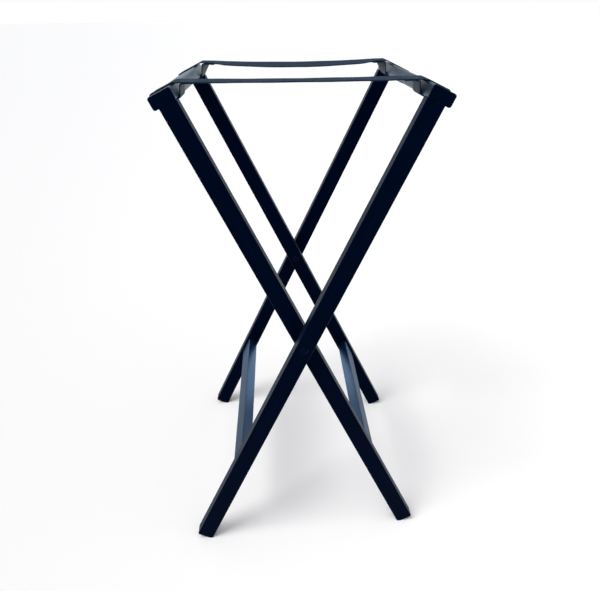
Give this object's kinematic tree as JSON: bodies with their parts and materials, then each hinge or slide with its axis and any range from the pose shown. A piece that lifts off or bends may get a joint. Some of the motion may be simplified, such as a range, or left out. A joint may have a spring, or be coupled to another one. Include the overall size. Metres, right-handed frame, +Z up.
{
  "type": "tray stand",
  "caption": "Folding X-frame tray stand of dark lacquered wood: nested leg frames cross on bolted pivots, and looped webbing straps hold the top rails apart.",
  "frame": {"origin": "on the floor, midway between the feet, under the pivot", "axes": "+Z up, +Y along the pivot towards the rear, +X across the fold, towards the outer frame's top rail"},
  "size_m": [0.4324, 0.4768, 0.7918],
  "materials": {
    "lacquered_wood": "near-black navy satin lacquer",
    "dowel_beech": "bare turned beech",
    "zinc_steel": "bright zinc plate",
    "black_steel": "black zinc plate, satin",
    "nylon": "moulded black nylon",
    "webbing": "woven polyester webbing, dark blue-grey"
  },
  "bodies": {
    "outer_frame": {"outer_leg_front": "lacquered_wood", "outer_leg_rear": "lacquered_wood", "outer_top_rail": "lacquered_wood", "outer_stretcher": "lacquered_wood", "outer_rail_plugs": "lacquered_wood", "outer_stretcher_dowels": "dowel_beech", "outer_rail_screws": "zinc_steel", "front_pivot_bolt": "black_steel", "front_leg_spacer": "nylon", "front_nut_washer": "black_steel", "front_cap_nut": "black_steel", "rear_pivot_bolt": "black_steel", "rear_leg_spacer": "nylon", "rear_nut_washer": "black_steel", "rear_cap_nut": "black_steel", "front_strap": "webbing", "rear_strap": "webbing"},
    "inner_frame": {"inner_leg_front": "lacquered_wood", "inner_leg_rear": "lacquered_wood", "inner_top_rail": "lacquered_wood", "inner_stretcher": "lacquered_wood", "inner_rail_plugs": "lacquered_wood", "inner_stretcher_dowels": "dowel_beech", "inner_rail_screws": "zinc_steel"}
  },
  "joints": [
    {"name": "fold", "type": "hinge", "parent": "outer_frame", "child": "inner_frame", "pos_m": [0, 0, 0.38423], "axis": [0, 1, 0], "range_deg": [0, 46], "deforming": ["front_strap", "rear_strap"]}
  ]
}
